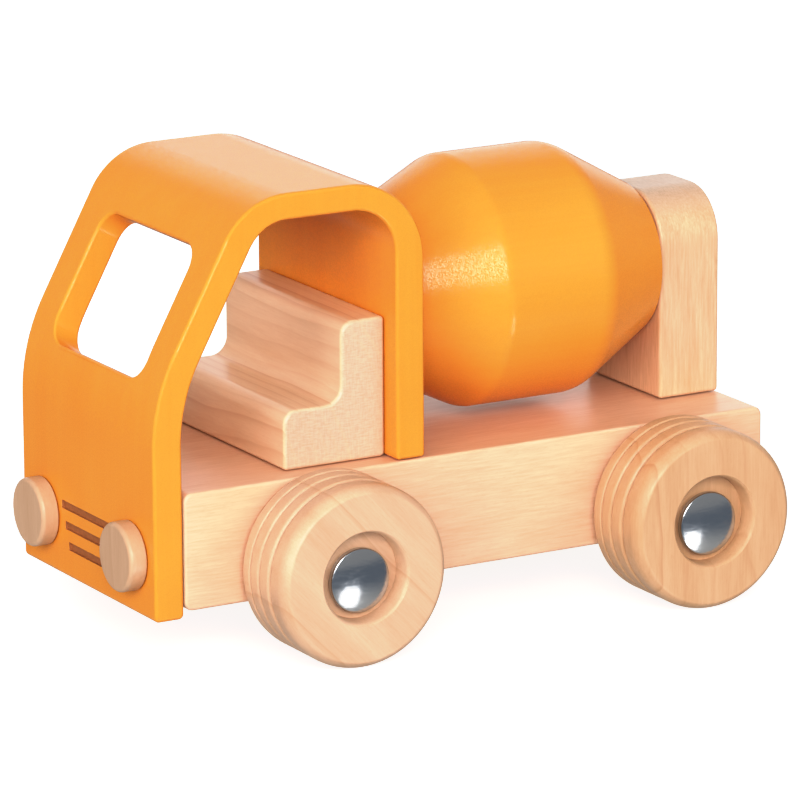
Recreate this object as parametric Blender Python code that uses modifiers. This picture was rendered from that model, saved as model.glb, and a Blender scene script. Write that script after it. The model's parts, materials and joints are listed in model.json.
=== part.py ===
"""Toy cement mixer: a wooden truck with a bent cab shell, a turned mixing drum and four turned wheels.

Frame: metres, +Z up, the front of the truck faces -Y, its left side faces +X. The origin is on the
floor, in the middle of the truck's length and width.
"""
import math

import bmesh
import bpy
from mathutils import Matrix, Vector

# ---------------------------------------------------------------- driving dimensions, in metres
GAP = 0.0003                 # clearance kept between neighbouring pieces
OVERCUT = 0.0020             # how far a cutter starts outside the face it cuts into

HALF_WIDTH = 0.0386          # half the width of the chassis and of the cab
CHASSIS_BOTTOM = 0.0154
CHASSIS_TOP = 0.0474
CHASSIS_REAR = 0.0974
CHASSIS_CORNER = 0.0025      # rounding of the block's ends, seen from the side
CHASSIS_EDGE = 0.0009

CAB_FRONT = -0.09145         # outer face of the upright front panel
CAB_REAR = -0.0097           # outer face of the rear wall
CAB_BOTTOM = 0.0135
CAB_FOOT_CORNER = 0.0015
CAB_TOP = 0.1244
CAB_LEAN = math.radians(28.66)
CAB_LEAN_START = 0.0731      # height at which the leaning panel would meet the upright one
WALL = 0.0086                # upright walls
LEANING_WALL = 0.0080
ROOF = 0.0072
FRONT_BEND_OUTER = 0.0550    # corner radii of the bent shell, outer and inner
FRONT_BEND_INNER = 0.0470
BROW_OUTER = 0.0210
BROW_INNER = 0.0125
ROOF_REAR_OUTER = 0.0222
ROOF_REAR_INNER = 0.0125
CAB_EDGE = 0.0009

WINDOW_CENTRE = 0.0231       # measured up the leaning panel from its start
WINDOW_HALF_WIDTH = 0.0262
WINDOW_HALF_HEIGHT = 0.0190
WINDOW_CORNER = 0.0065
WINDOW_CUT_HALF_DEPTH = 0.0200

SLOT_TOP = 0.0336            # centre height of the highest grille slot
SLOT_PITCH = 0.0055
SLOT_HEIGHT = 0.0023
SLOT_DEPTH = 0.0008
SLOT_HALF_LENGTHS = (0.0150, 0.0131, 0.0112)

LAMP_X = 0.0257
LAMP_Z = 0.0293
LAMP_RADIUS = 0.0094
LAMP_THICKNESS = 0.0050
LAMP_EDGE = 0.0009
LAMP_STEM_LENGTH = 0.0045

SEAT_HALF_WIDTH = 0.0326
SEAT_FRONT = -0.0493
SEAT_TOP = 0.0640
BACKREST_FRONT = -0.0319
BACKREST_TOP = 0.0862
SEAT_CORNER = 0.0038
SEAT_FILLET = 0.0050
SEAT_EDGE = 0.0009

SUPPORT_FRONT = 0.0764
SUPPORT_REAR = 0.0956
SUPPORT_HALF_WIDTH = 0.0191
SUPPORT_TOP = 0.1049
SUPPORT_CORNER = 0.0140
SUPPORT_EDGE = 0.0010

DRUM_Z = 0.0848
DRUM_END_GAP = 0.0004
DRUM_END_RADIUS = 0.0212
DRUM_RADIUS = 0.0350
DRUM_BAND_FRONT = 0.0198
DRUM_BAND_REAR = 0.0516
DRUM_FRONT_SHOULDER = 0.0065
DRUM_REAR_SHOULDER = 0.0110
DRUM_EDGE = 0.0015
DRUM_BORE = 0.00435
SPINDLE_RADIUS = 0.0040
SPINDLE_IN_CAB = 0.0049
SPINDLE_IN_SUPPORT = 0.0097

WHEEL_RADIUS = 0.0250
WHEEL_SIDES = 40
WHEEL_INNER = 0.04015        # distance of the wheel's inner face from the middle of the truck
WHEEL_OUTER = 0.0640
FRONT_AXLE_Y = -0.0422
REAR_AXLE_Y = 0.0660
WHEEL_SHOULDER = 0.0036
WHEEL_INNER_EDGE = 0.0025
TREAD_GROOVES = (0.0156, 0.0101, 0.0052)      # from the inner face
GROOVE_HALF_WIDTH = 0.0009
GROOVE_DEPTH = 0.0012
HUB_MOUTH = 0.0128           # radius of the recess at the wheel's face
HUB_FLOOR = 0.0119           # radius of the recess at its floor
HUB_DEPTH = 0.0055
HUB_LIP = 0.0003
WHEEL_BORE = 0.0052
AXLE_RADIUS = 0.0035
AXLE_BORE = 0.0038
AXLE_DROP = 0.0014           # the rod lies on the bottom of the wider wheel bores
AXLE_HALF_LENGTH = 0.0606

CAP_BASE = 0.0592            # distance of the cap's open rim from the middle of the truck
CAP_RADIUS = 0.0088
CAP_HEIGHT = 0.0027
CAP_SKIRT = 0.0014
CAP_SHEET = 0.0008
CAP_SLEEVE = 0.0038
CAP_SLEEVE_WALL = 0.0010
CAP_SOCKET = 0.0017

DOWEL_RADIUS = 0.0030
THIN_DOWEL_RADIUS = 0.0025
CAB_FRONT_DOWEL_X = 0.0120
CAB_FRONT_DOWEL_Z = 0.0400
CAB_FRONT_DOWEL_IN_CAB = 0.0045
CAB_FRONT_DOWEL_IN_CHASSIS = 0.0120
CAB_REAR_DOWEL_X = 0.0250
CAB_REAR_DOWEL_DEPTH = 0.0100
SEAT_DOWEL_X = 0.0180
SEAT_DOWEL_Y = -0.0340
SEAT_DOWEL_DEPTH = 0.0090
SUPPORT_DOWEL_X = 0.0100
SUPPORT_DOWEL_DEPTH = 0.0120
DOWEL_SIDES = 16
BORE_SIDES = 24

# A wheel stands on one of its facets, so the hub is one facet's apothem above the floor.
WHEEL_Z = WHEEL_RADIUS * math.cos(math.pi / WHEEL_SIDES)
AXLE_Z = WHEEL_Z - AXLE_DROP

# ---------------------------------------------------------------- scene, collections, materials
for old in list(bpy.data.objects):
    bpy.data.objects.remove(old, do_unlink=True)


def new_collection(name):
    collection = bpy.data.collections.new(name)
    bpy.context.scene.collection.children.link(collection)
    return collection


PARTS = new_collection("toy_cement_mixer")
CUTTERS = new_collection("cutters")


def wood(name, colour, roughness):
    material = bpy.data.materials.new(name)
    material.use_nodes = True
    shader = material.node_tree.nodes["Principled BSDF"]
    shader.inputs["Base Color"].default_value = (*colour, 1.0)
    shader.inputs["Roughness"].default_value = roughness
    return material


def metal(name, colour, roughness):
    material = wood(name, colour, roughness)
    material.node_tree.nodes["Principled BSDF"].inputs["Metallic"].default_value = 1.0
    return material


BEECH = wood("beech", (0.86, 0.62, 0.40), 0.45)
BEECH_END = wood("beech_end_grain", (0.84, 0.66, 0.47), 0.5)
ORANGE = wood("orange_painted_wood", (0.90, 0.30, 0.04), 0.32)
DOWEL_WOOD = wood("dowel_wood", (0.80, 0.60, 0.40), 0.55)
STEEL = metal("steel", (0.55, 0.56, 0.58), 0.25)


# ---------------------------------------------------------------- outlines
def round_corners(corners, arc_step=math.radians(9)):
    """A closed or open run of (a, b, radius) corners, with each radius drawn as a short arc."""
    points = []
    count = len(corners)
    for index, (a, b, radius) in enumerate(corners):
        corner = Vector((a, b))
        if radius == 0:
            points.append(corner)
            continue
        before = (Vector(corners[index - 1][:2]) - corner).normalized()
        after = (Vector(corners[(index + 1) % count][:2]) - corner).normalized()
        opening = before.angle(after)
        tangent = radius / math.tan(opening / 2)
        centre = corner + (before + after).normalized() * radius / math.sin(opening / 2)
        start = corner + before * tangent - centre
        turn = start.angle_signed(corner + after * tangent - centre)
        steps = max(2, round(abs(turn) / arc_step))
        for step in range(steps + 1):
            points.append(centre + Matrix.Rotation(-turn * step / steps, 2) @ start)
    return points


def arc(centre_r, centre_u, radius_r, radius_u, start, end, steps):
    """Points of an elliptical arc in a turned profile, angles in degrees from the +r direction."""
    points = []
    for step in range(steps + 1):
        angle = math.radians(start + (end - start) * step / steps)
        points.append((centre_r + radius_r * math.cos(angle), centre_u + radius_u * math.sin(angle)))
    return points


# ---------------------------------------------------------------- shape makers
def add_part(name, mesh, material, collection=PARTS):
    part = bpy.data.objects.new(name, mesh)
    if material:
        mesh.materials.append(material)
    collection.objects.link(part)
    return part


def hide_cutter(cutter):
    cutter.hide_render = True
    cutter.display_type = "WIRE"
    return cutter


def slab(name, outline, half_depth, material=None, collection=PARTS):
    """A flat outline (y, z) standing in the truck's length, extruded to both sides of X = 0."""
    curve = bpy.data.curves.new(name + "_outline", "CURVE")
    curve.dimensions = "2D"
    curve.fill_mode = "BOTH"
    curve.extrude = half_depth
    spline = curve.splines.new("POLY")
    spline.points.add(len(outline) - 1)
    spline.use_cyclic_u = True
    for point, (a, b) in zip(spline.points, outline):
        point.co = (a, b, 0, 1)
    flat = bpy.data.objects.new(name + "_flat", curve)
    collection.objects.link(flat)
    # The curve's x, y, z become the truck's y, z, x.
    flat.matrix_world = Matrix(((0, 0, 1, 0), (1, 0, 0, 0), (0, 1, 0, 0), (0, 0, 0, 1)))
    depsgraph = bpy.context.evaluated_depsgraph_get()
    mesh = bpy.data.meshes.new_from_object(flat.evaluated_get(depsgraph))
    weld(mesh)
    smooth(mesh)
    part = add_part(name, mesh, material, collection)
    part.matrix_world = flat.matrix_world
    bpy.data.objects.remove(flat, do_unlink=True)
    bpy.data.curves.remove(curve)
    return part


def weld(mesh):
    shape = bmesh.new()
    shape.from_mesh(mesh)
    bmesh.ops.remove_doubles(shape, verts=shape.verts, dist=0.00001)
    bmesh.ops.recalc_face_normals(shape, faces=shape.faces)
    shape.to_mesh(mesh)
    shape.free()


def block(name, low, high, material=None, collection=PARTS):
    """A box between two corners, its own origin at its middle."""
    low, high = Vector(low), Vector(high)
    shape = bmesh.new()
    bmesh.ops.create_cube(shape, size=1.0)
    bmesh.ops.scale(shape, vec=high - low, verts=shape.verts)
    mesh = bpy.data.meshes.new(name)
    shape.to_mesh(mesh)
    shape.free()
    part = add_part(name, mesh, material, collection)
    part.location = (low + high) / 2
    return part


def rod(name, start, end, radius, sides, material=None, collection=PARTS):
    """A straight round rod between two points."""
    start, end = Vector(start), Vector(end)
    shape = bmesh.new()
    bmesh.ops.create_cone(
        shape, cap_ends=True, segments=sides, radius1=radius, radius2=radius,
        depth=(end - start).length)
    mesh = bpy.data.meshes.new(name)
    shape.to_mesh(mesh)
    shape.free()
    smooth(mesh)
    part = add_part(name, mesh, material, collection)
    part.location = (start + end) / 2
    part.rotation_euler = (end - start).to_track_quat("Z", "Y").to_euler()
    return part


def turned(name, profile, closed, sides, material, centre, axis_turn, start_turn=0.0):
    """A piece turned about its local Z from a profile of (radius, height), then laid on its axis."""
    mesh = bpy.data.meshes.new(name)
    count = len(profile)
    turn = Matrix.Rotation(start_turn, 3, "Z")
    points = [turn @ Vector((radius, 0, height)) for radius, height in profile]
    edges = [(index, (index + 1) % count) for index in range(count if closed else count - 1)]
    mesh.from_pydata(points, edges, [])
    part = add_part(name, mesh, material)
    screw = part.modifiers.new("turn", "SCREW")
    screw.axis = "Z"
    screw.angle = math.tau
    screw.steps = sides
    screw.render_steps = sides
    screw.use_merge_vertices = True
    screw.merge_threshold = 0.00001
    screw.use_smooth_shade = True
    part.location = centre
    part.rotation_euler = axis_turn
    return part


def smooth(mesh):
    mesh.shade_smooth()
    mesh.set_sharp_from_angle(angle=math.radians(35))


def bevel(part, width, segments=3):
    modifier = part.modifiers.new("rounded_edges", "BEVEL")
    modifier.width = width
    modifier.segments = segments
    modifier.limit_method = "ANGLE"
    modifier.angle_limit = math.radians(40)


def cut(part, cutter):
    hide_cutter(cutter)
    modifier = part.modifiers.new(cutter.name, "BOOLEAN")
    modifier.operation = "DIFFERENCE"
    modifier.solver = "EXACT"
    modifier.object = cutter


def bore(part, name, start, end, radius, sides=BORE_SIDES):
    cut(part, rod(name, start, end, radius, sides, collection=CUTTERS))


# ---------------------------------------------------------------- dowels: (name, start, end, radius)
CHASSIS_FRONT = CAB_FRONT + WALL + GAP
CAB_REAR_MIDDLE = CAB_REAR - WALL / 2
SUPPORT_MIDDLE = (SUPPORT_FRONT + SUPPORT_REAR) / 2


def upright_dowel(name, x, y, depth, radius):
    return (name, (x, y, CHASSIS_TOP - depth), (x, y, CHASSIS_TOP + depth), radius)


def dowels():
    """The hidden wooden dowels that locate the glued pieces on the chassis."""
    pins = []
    for side, sign in (("left", 1), ("right", -1)):
        front_x = sign * CAB_FRONT_DOWEL_X
        pins.append((
            "cab_front_dowel_" + side,
            (front_x, CAB_FRONT + WALL - CAB_FRONT_DOWEL_IN_CAB, CAB_FRONT_DOWEL_Z),
            (front_x, CHASSIS_FRONT + CAB_FRONT_DOWEL_IN_CHASSIS, CAB_FRONT_DOWEL_Z),
            DOWEL_RADIUS))
        pins.append(upright_dowel(
            "cab_rear_dowel_" + side, sign * CAB_REAR_DOWEL_X, CAB_REAR_MIDDLE,
            CAB_REAR_DOWEL_DEPTH, THIN_DOWEL_RADIUS))
        pins.append(upright_dowel(
            "seat_dowel_" + side, sign * SEAT_DOWEL_X, SEAT_DOWEL_Y, SEAT_DOWEL_DEPTH, DOWEL_RADIUS))
        pins.append(upright_dowel(
            "support_dowel_" + side, sign * SUPPORT_DOWEL_X, SUPPORT_MIDDLE,
            SUPPORT_DOWEL_DEPTH, DOWEL_RADIUS))
    return pins


def bore_for(part, pins, prefix):
    """Drill each dowel's hole, a little wider and longer than the dowel itself."""
    for name, start, end, radius in pins:
        if not name.startswith(prefix):
            continue
        along = (Vector(end) - Vector(start)).normalized() * GAP
        bore(part, part.name + "_hole_" + name, Vector(start) - along, Vector(end) + along, radius + GAP)


# ---------------------------------------------------------------- pieces
def make_chassis(pins):
    outline = round_corners([
        (CHASSIS_FRONT, CHASSIS_BOTTOM, CHASSIS_CORNER),
        (CHASSIS_REAR, CHASSIS_BOTTOM, CHASSIS_CORNER),
        (CHASSIS_REAR, CHASSIS_TOP, CHASSIS_CORNER),
        (CHASSIS_FRONT, CHASSIS_TOP, CHASSIS_CORNER),
    ], math.radians(18))
    chassis = slab("chassis", outline, HALF_WIDTH, BEECH)
    bevel(chassis, CHASSIS_EDGE, 2)
    for end, y in (("front", FRONT_AXLE_Y), ("rear", REAR_AXLE_Y)):
        reach = HALF_WIDTH + OVERCUT
        bore(chassis, end + "_axle_bore", (-reach, y, AXLE_Z), (reach, y, AXLE_Z), AXLE_BORE)
    bore_for(chassis, pins, "")
    return chassis


def lean_point(distance, inward=0.0):
    """A point (y, z) up the leaning panel's outer face, or below that face by a depth."""
    along = Vector((math.sin(CAB_LEAN), math.cos(CAB_LEAN)))
    inner = Vector((math.cos(CAB_LEAN), -math.sin(CAB_LEAN)))
    return Vector((CAB_FRONT, CAB_LEAN_START)) + along * distance + inner * inward


def on_lean(depth, y=None, z=None):
    """Where the leaning panel's face at a depth crosses an upright (y) or a level (z) line."""
    base = lean_point(0, depth)
    if y is not None:
        return (y, base.y + (y - base.x) / math.tan(CAB_LEAN))
    return (base.x + (z - base.y) * math.tan(CAB_LEAN), z)


def cab_outline():
    front_inner = CAB_FRONT + WALL
    rear_inner = CAB_REAR - WALL
    roof_inner = CAB_TOP - ROOF
    foot = CHASSIS_TOP + GAP
    return round_corners([
        (CAB_FRONT, CAB_BOTTOM, CAB_FOOT_CORNER),
        (CAB_FRONT, CAB_LEAN_START, FRONT_BEND_OUTER),
        (*on_lean(0, z=CAB_TOP), BROW_OUTER),
        (CAB_REAR, CAB_TOP, ROOF_REAR_OUTER),
        (CAB_REAR, foot, 0),
        (rear_inner, foot, 0),
        (rear_inner, roof_inner, ROOF_REAR_INNER),
        (*on_lean(LEANING_WALL, z=roof_inner), BROW_INNER),
        (*on_lean(LEANING_WALL, y=front_inner), FRONT_BEND_INNER),
        (front_inner, CAB_BOTTOM, CAB_FOOT_CORNER),
    ])


def cut_window(cab):
    """The rounded windscreen opening, cut square through the leaning panel."""
    half_width, half_height = WINDOW_HALF_WIDTH, WINDOW_HALF_HEIGHT
    outline = round_corners([
        (-half_width, -half_height, WINDOW_CORNER),
        (half_width, -half_height, WINDOW_CORNER),
        (half_width, half_height, WINDOW_CORNER),
        (-half_width, half_height, WINDOW_CORNER),
    ], math.radians(15))
    window = slab("windscreen", outline, WINDOW_CUT_HALF_DEPTH, collection=CUTTERS)
    centre = lean_point(WINDOW_CENTRE, LEANING_WALL / 2)
    # The outline's plane has the truck's X across it and the leaning panel's rise up it.
    across = Vector((1, 0, 0))
    up = Vector((0, math.sin(CAB_LEAN), math.cos(CAB_LEAN)))
    through = across.cross(up)
    turn = Matrix((across, up, through)).transposed().to_4x4()
    window.matrix_world = Matrix.Translation((0, centre.x, centre.y)) @ turn
    cut(cab, window)


def cut_grille(cab):
    for index, half_length in enumerate(SLOT_HALF_LENGTHS):
        z = SLOT_TOP - index * SLOT_PITCH
        slot = block(
            "grille_slot_%d" % (index + 1),
            (-half_length, CAB_FRONT - OVERCUT, z - SLOT_HEIGHT / 2),
            (half_length, CAB_FRONT + SLOT_DEPTH, z + SLOT_HEIGHT / 2),
            collection=CUTTERS)
        cut(cab, slot)


def make_cab(pins):
    cab = slab("cab_shell", cab_outline(), HALF_WIDTH, ORANGE)
    bevel(cab, CAB_EDGE, 2)
    cut_window(cab)
    cut_grille(cab)
    for side, sign in (("left", 1), ("right", -1)):
        bore(
            cab, "lamp_hole_" + side, (sign * LAMP_X, CAB_FRONT - OVERCUT, LAMP_Z),
            (sign * LAMP_X, CAB_FRONT + LAMP_STEM_LENGTH + GAP, LAMP_Z), DOWEL_RADIUS + GAP)
    bore(
        cab, "spindle_hole", (0, CAB_REAR + OVERCUT, DRUM_Z),
        (0, CAB_REAR - SPINDLE_IN_CAB - GAP, DRUM_Z), SPINDLE_RADIUS + GAP)
    bore_for(cab, pins, "cab_")
    return cab


def make_seat(pins):
    rear = CAB_REAR - WALL - GAP
    foot = CHASSIS_TOP + GAP
    outline = round_corners([
        (SEAT_FRONT, foot, 0),
        (SEAT_FRONT, SEAT_TOP, SEAT_CORNER),
        (BACKREST_FRONT, SEAT_TOP, SEAT_FILLET),
        (BACKREST_FRONT, BACKREST_TOP, SEAT_CORNER),
        (rear, BACKREST_TOP, 0),
        (rear, foot, 0),
    ], math.radians(15))
    seat = slab("bench_seat", outline, SEAT_HALF_WIDTH, BEECH_END)
    bevel(seat, SEAT_EDGE, 2)
    bore_for(seat, pins, "seat_")
    return seat


def make_support(pins):
    foot = CHASSIS_TOP + GAP
    outline = round_corners([
        (-SUPPORT_HALF_WIDTH, foot, 0),
        (-SUPPORT_HALF_WIDTH, SUPPORT_TOP, SUPPORT_CORNER),
        (SUPPORT_HALF_WIDTH, SUPPORT_TOP, SUPPORT_CORNER),
        (SUPPORT_HALF_WIDTH, foot, 0),
    ])
    support = slab("drum_support", outline, (SUPPORT_REAR - SUPPORT_FRONT) / 2, BEECH)
    # The arched outline stands across the truck, so its plane is turned a quarter.
    support.matrix_world = Matrix((
        (1, 0, 0, 0), (0, 0, -1, SUPPORT_MIDDLE), (0, 1, 0, 0), (0, 0, 0, 1)))
    bevel(support, SUPPORT_EDGE, 2)
    bore(
        support, "support_spindle_hole", (0, SUPPORT_FRONT - OVERCUT, DRUM_Z),
        (0, SUPPORT_FRONT + SPINDLE_IN_SUPPORT + GAP, DRUM_Z), SPINDLE_RADIUS + GAP)
    bore_for(support, pins, "support_")
    return support


def make_drum():
    """A double cone with a band round its middle; its local Z runs to the front."""
    front = CAB_REAR + DRUM_END_GAP
    rear = SUPPORT_FRONT - DRUM_END_GAP
    middle = (front + rear) / 2
    nose = middle - front
    band_front = middle - DRUM_BAND_FRONT
    band_rear = middle - DRUM_BAND_REAR
    profile = round_corners([
        (DRUM_BORE, nose, 0),
        (DRUM_END_RADIUS, nose, DRUM_EDGE),
        (DRUM_RADIUS, band_front, DRUM_FRONT_SHOULDER),
        (DRUM_RADIUS, band_rear, DRUM_REAR_SHOULDER),
        (DRUM_END_RADIUS, -nose, DRUM_EDGE),
        (DRUM_BORE, -nose, 0),
    ], math.radians(8))
    return turned(
        "mixing_drum", profile, True, 48, ORANGE, (0, middle, DRUM_Z), (math.pi / 2, 0, 0))


def make_spindle():
    return rod(
        "drum_spindle", (0, CAB_REAR - SPINDLE_IN_CAB, DRUM_Z),
        (0, SUPPORT_FRONT + SPINDLE_IN_SUPPORT, DRUM_Z), SPINDLE_RADIUS, BORE_SIDES, DOWEL_WOOD)


def make_headlight(side, sign):
    """A turned button with its own stem; its local Z points forward."""
    profile = [
        (0, LAMP_THICKNESS),
        *arc(LAMP_RADIUS - LAMP_EDGE, LAMP_THICKNESS - LAMP_EDGE, LAMP_EDGE, LAMP_EDGE, 90, 0, 3),
        (LAMP_RADIUS, 0),
        (DOWEL_RADIUS, 0),
        (DOWEL_RADIUS, -LAMP_STEM_LENGTH),
        (0, -LAMP_STEM_LENGTH),
    ]
    centre = (sign * LAMP_X, CAB_FRONT - GAP, LAMP_Z)
    return turned("headlight_" + side, profile, False, 32, BEECH, centre, (math.pi / 2, 0, 0))


def wheel_profile():
    """(radius, height) from the hub recess over the tread to the inner face; height 0 is that face."""
    width = WHEEL_OUTER - WHEEL_INNER
    floor = width - HUB_DEPTH
    cove = arc(HUB_MOUTH, floor, HUB_MOUTH - HUB_FLOOR, HUB_DEPTH - HUB_LIP, 180, 90, 2)
    shoulder = arc(
        WHEEL_RADIUS - WHEEL_SHOULDER, width - WHEEL_SHOULDER, WHEEL_SHOULDER, WHEEL_SHOULDER, 90, 0, 4)
    profile = [(WHEEL_BORE, floor), *cove, (HUB_MOUTH + HUB_LIP, width), *shoulder]
    for groove in TREAD_GROOVES:
        profile += arc(WHEEL_RADIUS, groove, GROOVE_DEPTH, GROOVE_HALF_WIDTH, 90, 270, 4)
    profile.append((WHEEL_RADIUS, WHEEL_INNER_EDGE))
    profile.append((WHEEL_RADIUS - WHEEL_INNER_EDGE, 0))
    profile.append((WHEEL_BORE, 0))
    return profile


def make_wheel(name, y, sign):
    """A wheel whose local Z points outward from the truck."""
    centre = (sign * WHEEL_INNER, y, WHEEL_Z)
    half_facet = math.pi / WHEEL_SIDES
    return turned(
        name, wheel_profile(), True, WHEEL_SIDES, BEECH, centre, (0, sign * math.pi / 2, 0), half_facet)


def make_axle(name, y):
    return rod(
        name, (-AXLE_HALF_LENGTH, y, AXLE_Z), (AXLE_HALF_LENGTH, y, AXLE_Z),
        AXLE_RADIUS, BORE_SIDES, STEEL)


def cap_profile():
    """A domed steel cap with an inner sleeve that grips the axle; height 0 is its open rim."""
    rise = CAP_HEIGHT - CAP_SKIRT
    sphere = (CAP_RADIUS ** 2 + rise ** 2) / (2 * rise)
    centre = CAP_HEIGHT - sphere
    inner_sphere = sphere - CAP_SHEET
    sleeve_outer = CAP_SLEEVE + CAP_SLEEVE_WALL
    inner_skirt = CAP_RADIUS - CAP_SHEET
    edge_angle = math.degrees(math.acos(CAP_RADIUS / sphere))
    inner_edge = math.degrees(math.acos(inner_skirt / inner_sphere))
    inner_top = math.degrees(math.acos(sleeve_outer / inner_sphere))
    return [
        *arc(0, centre, sphere, sphere, 90, edge_angle, 5),
        (CAP_RADIUS, 0),
        (inner_skirt, 0),
        *arc(0, centre, inner_sphere, inner_sphere, inner_edge, inner_top, 2),
        (sleeve_outer, 0),
        (CAP_SLEEVE, 0),
        (CAP_SLEEVE, CAP_SOCKET),
        (0, CAP_SOCKET),
    ]


def make_cap(name, y, sign):
    centre = (sign * CAP_BASE, y, AXLE_Z)
    return turned(name, cap_profile(), False, 24, STEEL, centre, (0, sign * math.pi / 2, 0))


def main():
    pins = dowels()
    make_chassis(pins)
    make_cab(pins)
    make_seat(pins)
    make_support(pins)
    make_drum()
    make_spindle()
    for name, start, end, radius in pins:
        rod(name, start, end, radius, DOWEL_SIDES, DOWEL_WOOD)
    for side, sign in (("left", 1), ("right", -1)):
        make_headlight(side, sign)
    for end, y in (("front", FRONT_AXLE_Y), ("rear", REAR_AXLE_Y)):
        make_axle(end + "_axle", y)
        for side, sign in (("left", 1), ("right", -1)):
            make_wheel("%s_wheel_%s" % (end, side), y, sign)
            make_cap("%s_axle_cap_%s" % (end, side), y, sign)


main()
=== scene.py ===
"""Looks for the toy cement mixer: turned and bent wood, orange paint, polished caps."""
import json
import math

import bmesh
import bpy
from mathutils import Matrix, Vector

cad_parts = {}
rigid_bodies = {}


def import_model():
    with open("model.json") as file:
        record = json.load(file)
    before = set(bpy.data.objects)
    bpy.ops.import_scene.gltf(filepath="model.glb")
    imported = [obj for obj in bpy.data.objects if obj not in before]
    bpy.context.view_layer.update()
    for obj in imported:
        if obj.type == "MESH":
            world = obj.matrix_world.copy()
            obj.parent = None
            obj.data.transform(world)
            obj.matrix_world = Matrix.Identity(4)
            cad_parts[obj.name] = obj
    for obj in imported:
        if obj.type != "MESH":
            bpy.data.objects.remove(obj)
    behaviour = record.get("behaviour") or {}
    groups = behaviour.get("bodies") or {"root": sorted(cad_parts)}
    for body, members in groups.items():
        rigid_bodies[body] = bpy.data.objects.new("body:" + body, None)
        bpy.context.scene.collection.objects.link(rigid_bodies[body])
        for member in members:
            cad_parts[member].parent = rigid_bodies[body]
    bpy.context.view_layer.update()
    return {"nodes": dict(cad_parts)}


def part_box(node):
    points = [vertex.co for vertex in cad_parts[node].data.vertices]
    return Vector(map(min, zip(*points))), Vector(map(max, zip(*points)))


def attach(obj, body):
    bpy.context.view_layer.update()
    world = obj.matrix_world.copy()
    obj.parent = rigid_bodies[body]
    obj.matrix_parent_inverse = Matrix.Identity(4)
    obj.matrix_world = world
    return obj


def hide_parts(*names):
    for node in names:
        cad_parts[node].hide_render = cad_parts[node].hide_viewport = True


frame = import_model()
NODES = frame["nodes"]

# ------------------------------------------------------------------ shape details, in metres
GAP = 0.0003

# The cab is one bent panel. It leans back from CAB_LEAN_START upwards.
CAB_LEAN = math.radians(28.66)
CAB_LEAN_START = 0.0731
WALL = 0.0086
LEANING_WALL = 0.0080
ROOF = 0.0072
FRONT_BEND_OUTER = 0.0550
FRONT_BEND_INNER = 0.0470
BROW_OUTER = 0.0210
BROW_INNER = 0.0125
ROOF_REAR_OUTER = 0.0222
ROOF_REAR_INNER = 0.0125
CAB_FOOT_CORNER = 0.0015
PANEL_EDGE = 0.0010

# The windscreen opening, its centre measured up the lean.
WINDOW_CENTRE = 0.0231
WINDOW_HALF_WIDTH = 0.0262
WINDOW_HALF_HEIGHT = 0.0190
WINDOW_CORNER = 0.0065
WINDOW_DRILL_REACH = 0.0200

# The grille slots, from the top one down.
SLOT_TOP = 0.0336
SLOT_PITCH = 0.0055
SLOT_HEIGHT = 0.0023
SLOT_DEPTH = 0.0008
SLOT_DRILL_START = 0.0020
SLOT_HALF_LENGTHS = (0.0150, 0.0131, 0.0112)

# The square blocks.
BLOCK_EDGE = 0.0011
SEAT_HEIGHT = 0.0163
BACKREST = 0.0133
SEAT_CORNER = 0.0038
SEAT_FILLET = 0.0050
SUPPORT_CORNER = 0.0140
CHASSIS_CORNER = 0.0025
CHASSIS_EDGE = 0.0009
AXLE_HOLE = 0.0038
AXLE_DRILL_REACH = 2.2

# The wheels. Grooves are measured from the inner face, the hub's depth from the outer face. The
# shoulder bends at the tight radius as far as SHOULDER_TURN, then at the gentle one.
WHEEL_BORE = 0.0052
WHEEL_INNER_EDGE = 0.0025
SHOULDER_TURN = math.radians(42)
SHOULDER_TIGHT = 0.0013
SHOULDER_GENTLE = 0.0046
TREAD_GROOVES = (0.0156, 0.0101, 0.0052)
GROOVE_DEPTH = 0.0012
RIDGE_SQUARENESS = 8
HUB_MOUTH = 0.0128
HUB_FLOOR = 0.0119
HUB_DEPTH = 0.0055
HUB_LIP = 0.0003

# The axle caps: a shallow dome, a rolled rim and a sleeve that grips the rod.
CAP_SKIRT = 0.0014
CAP_RIM = 0.0005
CAP_DOME_SHARE = 0.96
CAP_SHEET = 0.0008
CAP_SLEEVE_OUTER = 0.0048
CAP_SLEEVE_INNER = 0.0038
CAP_SOCKET = 0.0017

# The drum. Its band's two edges are measured back from the truck's middle.
DRUM_END_RADIUS = 0.0212
DRUM_BAND_FRONT = 0.0198
DRUM_BAND_REAR = 0.0516
DRUM_FRONT_SHOULDER = 0.0065
DRUM_REAR_SHOULDER = 0.0110
DRUM_EDGE = 0.0015
DRUM_BORE = 0.00435

# The headlight buttons and their glued stems.
LAMP_EDGE = 0.0012
LAMP_BACK_EDGE = 0.0003
LAMP_STEM_RADIUS = 0.0030
LAMP_STEM_LENGTH = 0.0045

# How finely the round shapes are drawn.
SHOULDER_STEPS = 20
RIDGE_STEPS = 24
CAP_STEPS = 20
WHEEL_SIDES = 128
DRUM_SIDES = 160
SMALL_SIDES = 96
BEVEL_FROM = math.radians(40)
BLOCK_SHARP = math.radians(30)
TURNED_SHARP = math.radians(38)


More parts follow.
